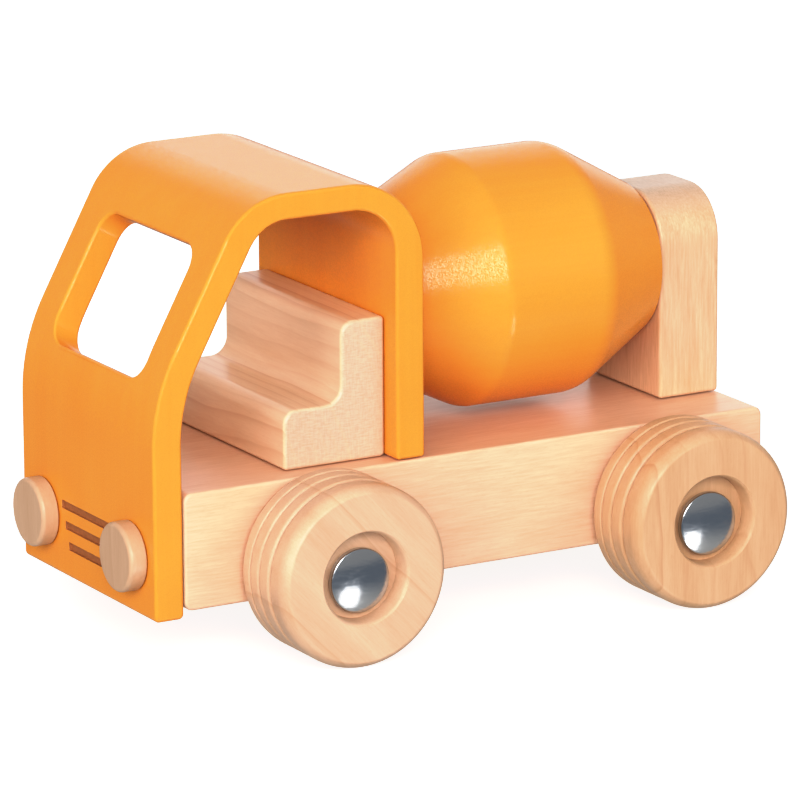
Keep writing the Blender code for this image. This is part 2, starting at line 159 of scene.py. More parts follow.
# ------------------------------------------------------------------ material helpers
class Look:
    """A material under construction: its tree, its shader and short ways to add nodes."""

    def __init__(self, name, turn=(0, 0, 0)):
        self.turn = turn
        self.material = bpy.data.materials.new(name)
        self.material.use_nodes = True
        self.tree = self.material.node_tree
        self.shader = self.tree.nodes["Principled BSDF"]

    def node(self, kind, **settings):
        """A new shader node with its settings."""
        made = self.tree.nodes.new(kind)
        for key, value in settings.items():
            setattr(made, key, value)
        return made

    def link(self, source, target):
        """One socket wired to another."""
        self.tree.links.new(source, target)

    def coords(self, scale, offset=(0, 0, 0)):
        """Object coordinates, in metres, moved and scaled axis by axis."""
        source = self.node("ShaderNodeTexCoord").outputs["Object"]
        if any(self.turn):
            turned_about = self.node("ShaderNodeMapping")
            turned_about.inputs["Rotation"].default_value = self.turn
            self.link(source, turned_about.inputs["Vector"])
            source = turned_about.outputs["Vector"]
        mapping = self.node("ShaderNodeMapping")
        mapping.inputs["Location"].default_value = offset
        mapping.inputs["Scale"].default_value = scale
        self.link(source, mapping.inputs["Vector"])
        return mapping.outputs["Vector"]

    def noise(self, vector, detail, roughness):
        """Cloudy noise from 0 to 1, with one cloud for each unit of the vector."""
        made = self.node("ShaderNodeTexNoise")
        made.inputs["Scale"].default_value = 1.0
        made.inputs["Detail"].default_value = detail
        made.inputs["Roughness"].default_value = roughness
        self.link(vector, made.inputs["Vector"])
        return made.outputs["Fac"]

    def steps(self, value, low, high, to_low=0.0, to_high=1.0):
        """A value stretched from low..high to another range, and held at its ends."""
        made = self.node("ShaderNodeMapRange", clamp=True)
        made.inputs["From Min"].default_value = low
        made.inputs["From Max"].default_value = high
        made.inputs["To Min"].default_value = to_low
        made.inputs["To Max"].default_value = to_high
        self.link(value, made.inputs["Value"])
        return made.outputs["Result"]

    def maths(self, operation, first, second=0.0):
        """One sum with one or two values, each a number or a socket."""
        made = self.node("ShaderNodeMath", operation=operation)
        for socket, value in zip(made.inputs, (first, second)):
            if isinstance(value, (int, float)):
                socket.default_value = value
            else:
                self.link(value, socket)
        return made.outputs["Value"]

    def mix(self, factor, first, second):
        """Colours first to second by a factor; a colour is a tuple or a socket."""
        made = self.node("ShaderNodeMix", data_type="RGBA")
        for socket, value in zip((made.inputs[0], made.inputs[6], made.inputs[7]), (factor, first, second)):
            if isinstance(value, (int, float)):
                socket.default_value = value
            elif isinstance(value, tuple):
                socket.default_value = (*value, 1.0)
            else:
                self.link(value, socket)
        return made.outputs[2]

    def bump(self, height, strength, distance, below=None):
        """A bumped normal, on top of another one where that is given."""
        made = self.node("ShaderNodeBump")
        made.inputs["Strength"].default_value = strength
        made.inputs["Distance"].default_value = distance
        self.link(height, made.inputs["Height"])
        if below:
            self.link(below, made.inputs["Normal"])
        return made.outputs["Normal"]


def along_grain(grain, across, along):
    """A texture scale for each axis: fine across the grain and long along it."""
    return tuple(along if axis == grain else across for axis in "XYZ")


def shaded(colour, fades):
    """A colour with each of its three parts turned down."""
    return tuple(part * fade for part, fade in zip(colour, fades))


# ------------------------------------------------------------------ wood
# Noise sizes, as clouds per metre across the grain and along it.
RING_SWAY = (34, 13)
RING_RIPPLE = (160, 40)
WOOD_PATCHES = (130, 24)
WOOD_FIBRES = (1700, 110)
WOOD_PORES = (3200, 620)
END_WEAVE = (2300, 420)

# A growth ring: how it bends, where in the year its line lies, how wide that is and how it fades.
PITH_TAPER = 0.05
RIPPLE_DEPTH = 0.0007
LINE_PLACE = 0.95
LINE_WIDTH = 0.0013
LINE_FADE = 0.2
LINE_SHARPNESS = 1.6

LINE_SHADE = (0.88, 0.79, 0.72)
END_SHADE = (0.86, 0.82, 0.78)
FLECK_STRENGTH = 0.16
END_LINE_STRENGTH = 0.45
WOOD_RELIEF = 0.07


def growth_lines(look, grain, seed, ring_gap, pith, sway, faintest):
    """Thin lines round a pith beside the piece, one for each year, each with a strength of its own."""
    drift = look.noise(look.coords(along_grain(grain, *RING_SWAY), (seed, 0, 0)), 2, 0.5)
    ripple = look.noise(look.coords(along_grain(grain, *RING_RIPPLE), (0, seed, 0)), 2, 0.5)
    centre = look.node("ShaderNodeVectorMath", operation="LENGTH")
    look.link(look.coords(along_grain(grain, 1, PITH_TAPER), pith), centre.inputs[0])
    distance = look.maths("ADD", centre.outputs["Value"], look.maths("MULTIPLY", drift, sway))
    distance = look.maths("ADD", distance, look.maths("MULTIPLY", ripple, RIPPLE_DEPTH))
    years = look.maths("DIVIDE", distance, ring_gap)
    through = look.maths("FRACT", years)
    share = LINE_WIDTH / ring_gap
    rising = look.steps(through, LINE_PLACE - share, LINE_PLACE)
    falling = look.steps(through, LINE_PLACE, LINE_PLACE + LINE_FADE * share, 1.0, 0.0)
    line = look.maths("MULTIPLY", look.maths("POWER", rising, LINE_SHARPNESS), falling)
    year = look.node("ShaderNodeTexWhiteNoise", noise_dimensions="1D")
    look.link(look.maths("FLOOR", look.maths("ADD", years, seed)), year.inputs["W"])
    return look.maths("MULTIPLY", line, look.steps(year.outputs["Value"], 0.25, 1.0, faintest, 1.0))


def end_grain(look, colour, grain, rays, seed, end, line, dark):
    """Paler, greyer wood on the sawn ends, with fine rays across the rings like a weave."""
    normal = look.node("ShaderNodeSeparateXYZ")
    look.link(look.node("ShaderNodeTexCoord").outputs["Normal"], normal.inputs[0])
    amount = look.steps(look.maths("ABSOLUTE", normal.outputs[grain]), 0.55, 0.95)
    weft = look.noise(look.coords(along_grain(rays, *END_WEAVE), (0, seed, seed)), 2, 0.6)
    warp = look.noise(look.coords(along_grain(rays, *reversed(END_WEAVE)), (seed, 0, seed)), 2, 0.6)
    weave = look.maths("ADD", look.maths("MULTIPLY", weft, 0.6), look.maths("MULTIPLY", warp, 0.4))
    end_colour = look.mix(look.steps(weave, 0.40, 0.62), end, shaded(end, END_SHADE))
    end_colour = look.mix(look.maths("MULTIPLY", line, END_LINE_STRENGTH), end_colour, dark)
    return look.mix(amount, colour, end_colour)


def beech(name, grain, seed, light, dark, end=None, rays="Y", ring_gap=0.0030, pith=(0.05, 0.03, 0.07),
          sway=0.006, lines=0.75, faintest=0.12, fibres=0.38, gloss=0.32, turn=(0, 0, 0)):
    """Solid beech: growth rings, cloudy patches, fibres, short ray flecks and a satin finish.

    Lines is how dark the rings are, faintest the weakest ring's share of that, sway how far they
    wander in metres, and fibres how much the fibres count against the patches.
    """
    look = Look(name, turn)
    line = growth_lines(look, grain, seed, ring_gap, pith, sway, faintest)
    broad = look.noise(look.coords(along_grain(grain, *WOOD_PATCHES), (seed, 0, 0)), 4, 0.6)
    fibre = look.noise(look.coords(along_grain(grain, *WOOD_FIBRES), (0, seed, 0)), 3, 0.65)
    pores = look.noise(look.coords(along_grain(grain, *WOOD_PORES), (0, 0, seed)), 1, 0.5)
    flecks = look.steps(pores, 0.58, 0.72)
    patches = look.maths("MULTIPLY", broad, 1 - fibres)
    tone = look.maths("ADD", patches, look.maths("MULTIPLY", fibre, fibres))
    colour = look.mix(look.steps(tone, 0.34, 0.66), light, dark)
    line_colour = shaded(dark, LINE_SHADE)
    colour = look.mix(look.maths("MULTIPLY", line, lines), colour, line_colour)
    colour = look.mix(look.maths("MULTIPLY", flecks, FLECK_STRENGTH), colour, line_colour)
    if end:
        colour = end_grain(look, colour, grain, rays, seed, end, line, dark)
    look.link(colour, look.shader.inputs["Base Color"])
    look.link(look.steps(tone, 0.3, 0.7, gloss - 0.04, gloss + 0.08), look.shader.inputs["Roughness"])
    height = look.maths("SUBTRACT", look.maths("MULTIPLY", fibre, 0.8), look.maths("MULTIPLY", flecks, 0.5))
    look.link(look.bump(height, WOOD_RELIEF, 0.0002), look.shader.inputs["Normal"])
    look.shader.inputs["Specular IOR Level"].default_value = 0.5
    return look.material


# ------------------------------------------------------------------ paint and steel
ORANGE = (0.81, 0.330, 0.052)
DEEP_ORANGE = (0.79, 0.297, 0.043)
BROWN = (0.43, 0.163, 0.056)
DEEP_BROWN = (0.35, 0.130, 0.043)

# Noise sizes, as clouds per metre, across the grain and along it.
PAINT_FINE_GRAIN = (900, 22)
PAINT_BROAD_GRAIN = (230, 9)
ROD_LINES = (3000, 60)

# Noise sizes without a grain, as clouds per metre along x, y and z.
PAINT_CLOUDS = (28, 28, 28)
PAINT_PEEL = (1300, 1300, 1300)
PAINT_SPARKLE = (2700, 2700, 2700)
SLOT_CLOUDS = (900, 300, 900)
CAP_MARKS = (900, 420, 1500)

GRAIN_RELIEF = 0.08
PEEL_RELIEF = 0.04
SLOT_RELIEF = 0.20
STEEL_RELIEF = 0.20


def orange_paint(name, grain, seed):
    """Thin semi-gloss paint: faint grain, a fine peel that breaks up reflections, and a sparkle in them."""
    look = Look(name)
    cloud = look.noise(look.coords(PAINT_CLOUDS, (seed, 0, 0)), 3, 0.5)
    fine = look.noise(look.coords(along_grain(grain, *PAINT_FINE_GRAIN), (0, seed, 0)), 3, 0.6)
    broad = look.noise(look.coords(along_grain(grain, *PAINT_BROAD_GRAIN), (seed, seed, 0)), 2, 0.5)
    lines = look.maths("ADD", look.maths("MULTIPLY", fine, 0.45), look.maths("MULTIPLY", broad, 0.55))
    tone = look.maths("ADD", look.maths("MULTIPLY", cloud, 0.5), look.maths("MULTIPLY", lines, 0.5))
    look.link(look.mix(look.steps(tone, 0.35, 0.68), ORANGE, DEEP_ORANGE), look.shader.inputs["Base Color"])
    peel = look.noise(look.coords(PAINT_PEEL, (0, 0, seed)), 2, 0.6)
    look.link(look.steps(peel, 0.3, 0.7, 0.17, 0.26), look.shader.inputs["Roughness"])
    relief = look.bump(lines, GRAIN_RELIEF, 0.0002)
    look.link(look.bump(peel, PEEL_RELIEF, 0.0001, relief), look.shader.inputs["Normal"])
    sparkle = look.noise(look.coords(PAINT_SPARKLE, (seed, 0, seed)), 1, 0.5)
    look.link(look.steps(sparkle, 0.42, 0.60, 0.06, 0.50), look.shader.inputs["Specular IOR Level"])
    return look.material


def slot_paint():
    """The dull brown floor of the grille slots."""
    look = Look("grille_brown")
    cloud = look.noise(look.coords(SLOT_CLOUDS), 3, 0.6)
    look.link(look.mix(look.steps(cloud, 0.3, 0.7), BROWN, DEEP_BROWN), look.shader.inputs["Base Color"])
    look.shader.inputs["Roughness"].default_value = 0.7
    look.link(look.bump(cloud, SLOT_RELIEF, 0.0002), look.shader.inputs["Normal"])
    return look.material


def steel(name, colour, low, high, grain=None):
    """Polished steel with faint clouding, or drawn rod with fine lines along it."""
    look = Look(name)
    look.shader.inputs["Metallic"].default_value = 1.0
    look.shader.inputs["Base Color"].default_value = (*colour, 1.0)
    if grain:
        marks = look.noise(look.coords(along_grain(grain, *ROD_LINES)), 2, 0.6)
    else:
        marks = look.noise(look.coords(CAP_MARKS), 4, 0.7)
    look.link(look.steps(marks, 0.3, 0.7, low, high), look.shader.inputs["Roughness"])
    look.link(look.bump(marks, STEEL_RELIEF, 0.0001), look.shader.inputs["Normal"])
    return look.material


# ------------------------------------------------------------------ the materials
CHASSIS_WOOD = beech(
    "beech_chassis_look", "Y", 1, light=(0.830, 0.540, 0.375), dark=(0.725, 0.435, 0.275),
    end=(0.680, 0.495, 0.355), ring_gap=0.0062, pith=(0.055, 0.03, 0.055), lines=0.25, fibres=0.60)
SEAT_WOOD = beech(
    "beech_seat_look", "X", 2, light=(0.805, 0.590, 0.405), dark=(0.725, 0.490, 0.320),
    end=(0.660, 0.485, 0.358), pith=(0, 0.13, -0.02), lines=1.0, faintest=0.3)
SUPPORT_WOOD = beech(
    "beech_support_look", "Z", 3, light=(0.785, 0.520, 0.342), dark=(0.605, 0.360, 0.205),
    end=(0.640, 0.452, 0.325), rays="X", ring_gap=0.0050, pith=(0.02, -0.19, 0.03), lines=0.12, fibres=0.62)
LAMP_WOOD = beech(
    "beech_headlight_look", "Z", 4, light=(0.610, 0.400, 0.260), dark=(0.540, 0.335, 0.208))
DOWEL_WOOD = beech("dowel_wood_look", "Z", 5, light=(0.722, 0.490, 0.318), dark=(0.636, 0.396, 0.232))
CAB_PAINT = orange_paint("orange_cab_look", "Z", 1)
DRUM_PAINT = orange_paint("orange_drum_look", "Y", 2)
GRILLE_BROWN = slot_paint()
CAP_STEEL = steel("cap_steel_look", (0.54, 0.555, 0.575), 0.10, 0.24)
AXLE_STEEL = steel("axle_steel_look", (0.50, 0.51, 0.53), 0.25, 0.38, "X")

# Each wheel is cut from its own place in the plank. The front left one has a single slanting ring line.
FRONT_WHEEL = {"light": (0.675, 0.452, 0.305), "dark": (0.585, 0.362, 0.230), "gloss": 0.36}
REAR_WHEEL = {"light": (0.645, 0.404, 0.245), "dark": (0.533, 0.314, 0.172), "gloss": 0.36}
WHEEL_WOODS = {
    "front_wheel_left": beech(
        "beech_wheel_1_look", "Z", 11, ring_gap=0.030, pith=(-0.064, 0.3295, 0), faintest=0.7,
        turn=(math.radians(-43), 0, 0), **FRONT_WHEEL),
    "front_wheel_right": beech(
        "beech_wheel_2_look", "Y", 12, ring_gap=0.011, pith=(0.02, 0.02, 0.09), **FRONT_WHEEL),
    "rear_wheel_left": beech(
        "beech_wheel_3_look", "Z", 13, ring_gap=0.0075, pith=(-0.05, -0.02, 0.02), faintest=0.3,
        sway=0.030, **REAR_WHEEL),
    "rear_wheel_right": beech(
        "beech_wheel_4_look", "Y", 14, ring_gap=0.008, pith=(0.03, 0.03, 0.08), sway=0.020, **REAR_WHEEL),
}


# ------------------------------------------------------------------ shape helpers
def link_piece(name, mesh, *materials):
    """A new object with its mesh and materials, in the scene."""
    piece = bpy.data.objects.new(name, mesh)
    bpy.context.scene.collection.objects.link(piece)
    for material in materials:
        mesh.materials.append(material)
    return piece


def take_mesh(piece):
    """The piece's modifiers made real, in the truck's own coordinates."""
    depsgraph = bpy.context.evaluated_depsgraph_get()
    mesh = bpy.data.meshes.new_from_object(piece.evaluated_get(depsgraph))
    piece.modifiers.clear()
    piece.data = mesh
    mesh.transform(piece.matrix_world)
    piece.matrix_world = Matrix.Identity(4)


def applied(piece, sharp=BLOCK_SHARP):
    """The finished piece, shaded smooth, with its flat faces kept flat next to rounded edges."""
    take_mesh(piece)
    piece.data.shade_smooth()
    piece.data.set_sharp_from_angle(angle=sharp)
    normals = piece.modifiers.new("normals", "WEIGHTED_NORMAL")
    normals.keep_sharp = True
    bpy.context.view_layer.update()
    take_mesh(piece)
    return piece


def place(piece, body, slot, *nodes):
    """The piece takes the place of CAD nodes and rides on their body."""
    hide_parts(*nodes)
    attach(piece, body)


def round_corners(corners, arc_step=math.radians(3)):
    """A closed run of (a, b, radius) corners, with each radius drawn as a short arc."""
    points = []
    count = len(corners)
    for index, (a, b, radius) in enumerate(corners):
        corner = Vector((a, b))
        if radius == 0:
            points.append(corner)
            continue
        before = (Vector(corners[index - 1][:2]) - corner).normalized()
        after = (Vector(corners[(index + 1) % count][:2]) - corner).normalized()
        opening = before.angle(after)
        tangent = radius / math.tan(opening / 2)
        centre = corner + (before + after).normalized() * radius / math.sin(opening / 2)
        start = corner + before * tangent - centre
        turn = start.angle_signed(corner + after * tangent - centre)
        steps = max(2, round(abs(turn) / arc_step))
        for step in range(steps + 1):
            points.append(centre + Matrix.Rotation(-turn * step / steps, 2) @ start)
    return points


def arc(centre_r, centre_u, radius_r, radius_u, start, end, steps):
    """Points of an elliptical arc in a turned profile, angles in degrees from the +r direction."""
    points = []
    for step in range(steps + 1):
        angle = math.radians(start + (end - start) * step / steps)
        points.append((centre_r + radius_r * math.cos(angle), centre_u + radius_u * math.sin(angle)))
    return points


def slab(name, outline, half_depth, turn, *materials):
    """A closed (a, b) outline extruded to both sides of its own plane, then placed by a matrix."""
    shape = bmesh.new()
    verts = [shape.verts.new((a, b, -half_depth)) for a, b in outline]
    face = shape.faces.new(verts)
    grown = bmesh.ops.extrude_face_region(shape, geom=[face])
    raised = [item for item in grown["geom"] if isinstance(item, bmesh.types.BMVert)]
    bmesh.ops.translate(shape, verts=raised, vec=(0, 0, 2 * half_depth))
    bmesh.ops.recalc_face_normals(shape, faces=shape.faces)
    mesh = bpy.data.meshes.new(name)
    shape.to_mesh(mesh)
    shape.free()
    piece = link_piece(name, mesh, *materials)
    piece.matrix_world = turn
    return piece


# The outline's own x, y and z become these directions of the truck.
SIDE_PLANE = Matrix(((0, 0, 1, 0), (1, 0, 0, 0), (0, 1, 0, 0), (0, 0, 0, 1)))


def bevel(piece, width, segments=4):
    """Rounded edges wherever two faces meet at a clear angle."""
    modifier = piece.modifiers.new("rounded_edges", "BEVEL")
    modifier.width = width
    modifier.segments = segments
    modifier.limit_method = "ANGLE"
    modifier.angle_limit = BEVEL_FROM
    modifier.use_clamp_overlap = False
    return modifier


def cut(piece, cutter, own_material=False):
    """A hole in the shape of another piece, lined with that piece's material where it is its own."""
    modifier = piece.modifiers.new(cutter.name, "BOOLEAN")
    modifier.operation = "DIFFERENCE"
    modifier.solver = "EXACT"
    modifier.material_mode = "TRANSFER" if own_material else "INDEX"
    modifier.object = cutter


def turned(name, profile, closed, sides, material, centre, axis_turn):
    """A piece turned about its local Z from (radius, height) points, then laid on its axis."""
    mesh = bpy.data.meshes.new(name)
    count = len(profile)
    points = [(radius, 0, height) for radius, height in profile]
    edges = [(index, (index + 1) % count) for index in range(count if closed else count - 1)]
    mesh.from_pydata(points, edges, [])
    piece = link_piece(name, mesh, material)
    screw = piece.modifiers.new("turn", "SCREW")
    screw.axis = "Z"
    screw.angle = math.tau
    screw.steps = sides
    screw.render_steps = sides
    screw.use_merge_vertices = True
    screw.merge_threshold = 0.00001
    piece.matrix_world = Matrix.Translation(centre) @ axis_turn
    bpy.context.view_layer.update()
    return applied(piece, TURNED_SHARP)


def facing(axis):
    """A turn that lays a piece's local Z along an axis of the truck."""
    return Vector(axis).to_track_quat("Z", "Y").to_matrix().to_4x4()


# ------------------------------------------------------------------ the pieces
def make_chassis():
    """The long block, with rounded ends and two axle holes."""
    low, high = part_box("chassis")
    outline = round_corners([
        (low.y, low.z, CHASSIS_CORNER),
        (high.y, low.z, CHASSIS_CORNER),
        (high.y, high.z, CHASSIS_CORNER),
        (low.y, high.z, CHASSIS_CORNER),
    ], math.radians(9))
    chassis = slab("chassis_block", outline, high.x, SIDE_PLANE, CHASSIS_WOOD)
    bevel(chassis, CHASSIS_EDGE)
    for end in ("front", "rear"):
        rod_low, rod_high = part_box(end + "_axle")
        centre = (rod_low + rod_high) / 2
        bpy.ops.mesh.primitive_cylinder_add(vertices=64, radius=AXLE_HOLE, depth=high.x * AXLE_DRILL_REACH)
        drill = bpy.context.object
        drill.name = end + "_axle_drill"
        drill.matrix_world = Matrix.Translation(centre) @ facing((1, 0, 0))
        cut(chassis, drill)
    bpy.context.view_layer.update()
    applied(chassis)
    remove_drills()
    place(chassis, "truck", "beech_chassis", "chassis")


def remove_drills():
    """Cutters go once their holes are made."""
    for spare in [item for item in bpy.data.objects if item.name.endswith("_drill")]:
        bpy.data.objects.remove(spare, do_unlink=True)


def on_lean(front, depth, y=None, z=None):
    """Where the leaning panel's face at a depth crosses an upright (y) or a level (z) line."""
    base_y = front + depth * math.cos(CAB_LEAN)
    base_z = CAB_LEAN_START - depth * math.sin(CAB_LEAN)
    if y is not None:
        return (y, base_z + (y - base_y) / math.tan(CAB_LEAN))
    return (base_y + (z - base_z) * math.tan(CAB_LEAN), z)


def make_cab():
    """One bent panel with a windscreen opening and three grille slots."""
    low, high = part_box("cab_shell")
    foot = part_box("chassis")[1].z + GAP
    front_inner = low.y + WALL
    rear_inner = high.y - WALL
    roof_inner = high.z - ROOF
    outline = round_corners([
        (low.y, low.z, CAB_FOOT_CORNER),
        (low.y, CAB_LEAN_START, FRONT_BEND_OUTER),
        (*on_lean(low.y, 0, z=high.z), BROW_OUTER),
        (high.y, high.z, ROOF_REAR_OUTER),
        (high.y, foot, 0),
        (rear_inner, foot, 0),
        (rear_inner, roof_inner, ROOF_REAR_INNER),
        (*on_lean(low.y, LEANING_WALL, z=roof_inner), BROW_INNER),
        (*on_lean(low.y, LEANING_WALL, y=front_inner), FRONT_BEND_INNER),
        (front_inner, low.z, CAB_FOOT_CORNER),
    ])
    cab = slab("cab_panel", outline, high.x, SIDE_PLANE, CAB_PAINT, GRILLE_BROWN)
    window = round_corners([
        (-WINDOW_HALF_WIDTH, -WINDOW_HALF_HEIGHT, WINDOW_CORNER),
        (WINDOW_HALF_WIDTH, -WINDOW_HALF_HEIGHT, WINDOW_CORNER),
        (WINDOW_HALF_WIDTH, WINDOW_HALF_HEIGHT, WINDOW_CORNER),
        (-WINDOW_HALF_WIDTH, WINDOW_HALF_HEIGHT, WINDOW_CORNER),
    ], math.radians(9))
    across = Vector((1, 0, 0))
    up = Vector((0, math.sin(CAB_LEAN), math.cos(CAB_LEAN)))
    through = across.cross(up)
    turn = Matrix((across, up, through)).transposed().to_4x4()
    start = Vector((0, low.y, CAB_LEAN_START)) + up * WINDOW_CENTRE
    drill = slab("window_drill", window, WINDOW_DRILL_REACH, Matrix.Translation(start) @ turn, CAB_PAINT)
    cut(cab, drill)
    bevel(cab, PANEL_EDGE, 3).miter_outer = "MITER_ARC"
    for index, half_length in enumerate(SLOT_HALF_LENGTHS):
        bottom = SLOT_TOP - index * SLOT_PITCH - SLOT_HEIGHT / 2
        top = bottom + SLOT_HEIGHT
        outside = low.y - SLOT_DRILL_START
        floor = low.y + SLOT_DEPTH
        box = [(outside, bottom), (floor, bottom), (floor, top), (outside, top)]
        drill = slab("slot_%d_drill" % index, box, half_length, SIDE_PLANE, GRILLE_BROWN)
        cut(cab, drill, own_material=True)
    bpy.context.view_layer.update()
    applied(cab)
    remove_drills()
    place(cab, "truck", "orange_paint", "cab_shell")


def make_seat():
    """A bench with an L-shaped side and a filleted inner corner."""
    low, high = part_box("bench_seat")
    backrest = high.y - BACKREST
    seat_top = low.z + SEAT_HEIGHT
    outline = round_corners([
        (low.y, low.z, 0),
        (low.y, seat_top, SEAT_CORNER),
        (backrest, seat_top, SEAT_FILLET),
        (backrest, high.z, SEAT_CORNER),
        (high.y, high.z, 0),
        (high.y, low.z, 0),
    ], math.radians(6))
    seat = slab("bench", outline, high.x, SIDE_PLANE, SEAT_WOOD)
    bevel(seat, BLOCK_EDGE)
    bpy.context.view_layer.update()
    applied(seat)
    place(seat, "truck", "beech_seat", "bench_seat")


def make_support():
    """The upright block behind the drum, with rounded top corners."""
    low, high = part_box("drum_support")
    outline = round_corners([
        (low.x, low.z, 0),
        (low.x, high.z, SUPPORT_CORNER),
        (high.x, high.z, SUPPORT_CORNER),
        (high.x, low.z, 0),
    ])
    middle = (low.y + high.y) / 2
    turn = Matrix(((1, 0, 0, 0), (0, 0, -1, middle), (0, 1, 0, 0), (0, 0, 0, 1)))
    support = slab("drum_post", outline, (high.y - low.y) / 2, turn, SUPPORT_WOOD)
    bevel(support, BLOCK_EDGE)
    bpy.context.view_layer.update()
    applied(support)
    place(support, "truck", "beech_support", "drum_support")


def make_drum():
    """Two cones with a band between them, bored for the spindle."""
    low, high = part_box("mixing_drum")
    middle = (low + high) / 2
    nose = (high.y - low.y) / 2
    radius = (high.z - low.z) / 2
    profile = round_corners([
        (DRUM_BORE, nose, 0),
        (DRUM_END_RADIUS, nose, DRUM_EDGE),
        (radius, middle.y - DRUM_BAND_FRONT, DRUM_FRONT_SHOULDER),
        (radius, middle.y - DRUM_BAND_REAR, DRUM_REAR_SHOULDER),
        (DRUM_END_RADIUS, -nose, DRUM_EDGE),
        (DRUM_BORE, -nose, 0),
    ], math.radians(2))
    drum = turned("turned_drum", profile, True, DRUM_SIDES, DRUM_PAINT, middle, facing((0, -1, 0)))
    place(drum, "drum", "orange_paint", "mixing_drum")


def make_headlight(node):
    """A turned button with a rounded rim and a stem in the cab's front."""
    low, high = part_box(node)
    centre = Vector(((low.x + high.x) / 2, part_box("cab_shell")[0].y - GAP, (low.z + high.z) / 2))
    radius = (high.x - low.x) / 2
    thickness = centre.y - low.y
    profile = [
        (0, thickness),
        *arc(radius - LAMP_EDGE, thickness - LAMP_EDGE, LAMP_EDGE, LAMP_EDGE, 90, 0, 6),
        (radius, LAMP_BACK_EDGE),
        (radius - LAMP_BACK_EDGE, 0),
        (LAMP_STEM_RADIUS, 0),
        (LAMP_STEM_RADIUS, -LAMP_STEM_LENGTH),
        (0, -LAMP_STEM_LENGTH),
    ]
    lamp = turned(node + "_button", profile, False, SMALL_SIDES, LAMP_WOOD, centre, facing((0, -1, 0)))
    place(lamp, "truck", "beech_headlight", node)


def ridge(radius, top, bottom):
    """The rounded ridge between two tread grooves, from its top edge down to its bottom edge."""
    points = []
    for step in range(RIDGE_STEPS + 1):
        across = 1 - 2 * step / RIDGE_STEPS
        drop = GROOVE_DEPTH * abs(across) ** RIDGE_SQUARENESS
        points.append((radius - drop, bottom + (top - bottom) * (1 + across) / 2))
    return points


def shoulder_curve(width, radius):
    """The outer shoulder: a tight turn at the face that opens into a gentle roll down to the tread."""
    across, down = [0.0], [0.0]
    for step in range(SHOULDER_STEPS):
        angle = math.pi / 2 * (step + 0.5) / SHOULDER_STEPS
        bend = SHOULDER_TIGHT if angle < SHOULDER_TURN else SHOULDER_GENTLE
        length = bend * math.pi / 2 / SHOULDER_STEPS
        across.append(across[-1] + length * math.cos(angle))
        down.append(down[-1] + length * math.sin(angle))
    face = radius - across[-1]
    return [(face + out, width - drop) for out, drop in zip(across, down)]


def wheel_profile(width, radius):
    """Half of the wheel's section: hub recess, outer face, shoulder, three grooves and inner edge."""
    floor = width - HUB_DEPTH
    cove = arc(HUB_MOUTH, floor, HUB_MOUTH - HUB_FLOOR, HUB_DEPTH - HUB_LIP, 180, 90, 7)
    lip = arc(HUB_MOUTH + HUB_LIP, width - HUB_LIP, HUB_LIP, HUB_LIP, 180, 90, 4)
    shoulder = shoulder_curve(width, radius)
    profile = [(WHEEL_BORE, floor), *cove, *lip[1:], *shoulder]
    top = 2 * shoulder[-1][1] - TREAD_GROOVES[0]
    outer_half = ridge(radius, top, TREAD_GROOVES[0])
    profile += outer_half[RIDGE_STEPS // 2 + 1:]
    for upper, lower in zip(TREAD_GROOVES, TREAD_GROOVES[1:]):
        profile += ridge(radius, upper, lower)[1:]
    inner_half = ridge(radius, TREAD_GROOVES[-1], WHEEL_INNER_EDGE)
    profile += inner_half[1:RIDGE_STEPS // 2 + 1]
    edge = WHEEL_INNER_EDGE
    profile += arc(radius - edge, edge, edge, edge, 0, -90, 6)
    profile.append((WHEEL_BORE, 0))
    return profile


def make_wheel(node, sign):
    """A turned wheel that faces left (sign 1) or right (sign -1)."""
    low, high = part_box(node)
    width = high.x - low.x
    radius = (high.z - low.z) / 2
    centre = (low + high) / 2
    centre.x = low.x if sign > 0 else high.x
    wheel = turned(
        node + "_turned", wheel_profile(width, radius), True, WHEEL_SIDES, WHEEL_WOODS[node],
        centre, facing((sign, 0, 0)))
    place(wheel, node, "beech_wheel", node)


def make_cap(node, body, sign):
    """A pressed cap: a shallow dome with a small rolled rim, hollow behind, with a sleeve."""
    low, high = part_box(node)
    height = high.x - low.x
    radius = (high.z - low.z) / 2
    centre = (low + high) / 2
    centre.x = low.x if sign > 0 else high.x
    rise = height - CAP_SKIRT
    sphere = (radius ** 2 + rise ** 2) / (2 * rise)
    slope = math.asin(radius / sphere) * CAP_DOME_SHARE
    edge = radius - CAP_RIM * (1 - math.sin(slope))
    crown = []
    for step in range(CAP_STEPS + 1):
        out = edge * step / CAP_STEPS
        crown.append((out, height - sphere + math.sqrt(sphere ** 2 - out ** 2)))
    rim_r = radius - CAP_RIM
    rim_h = crown[-1][1] - CAP_RIM * math.cos(slope)
    rim = arc(rim_r, rim_h, CAP_RIM, CAP_RIM, 90 - math.degrees(slope), 0, 6)
    profile = [
        *crown,
        *rim[1:],
        (radius, 0),
        (radius - CAP_SHEET, 0),
        (radius - CAP_SHEET, CAP_SKIRT * 0.4),
        (CAP_SLEEVE_OUTER, height * 0.5),
        (CAP_SLEEVE_OUTER, 0),
        (CAP_SLEEVE_INNER, 0),
        (CAP_SLEEVE_INNER, CAP_SOCKET),
        (0, CAP_SOCKET),
    ]
    cap = turned(node + "_dome", profile, False, SMALL_SIDES, CAP_STEEL, centre, facing((sign, 0, 0)))
    place(cap, body, "cap_steel", node)


def give(node, material):
    """A better material on a CAD node that keeps its own shape."""
    piece = NODES[node]
    piece.data.materials.clear()
    piece.data.materials.append(material)


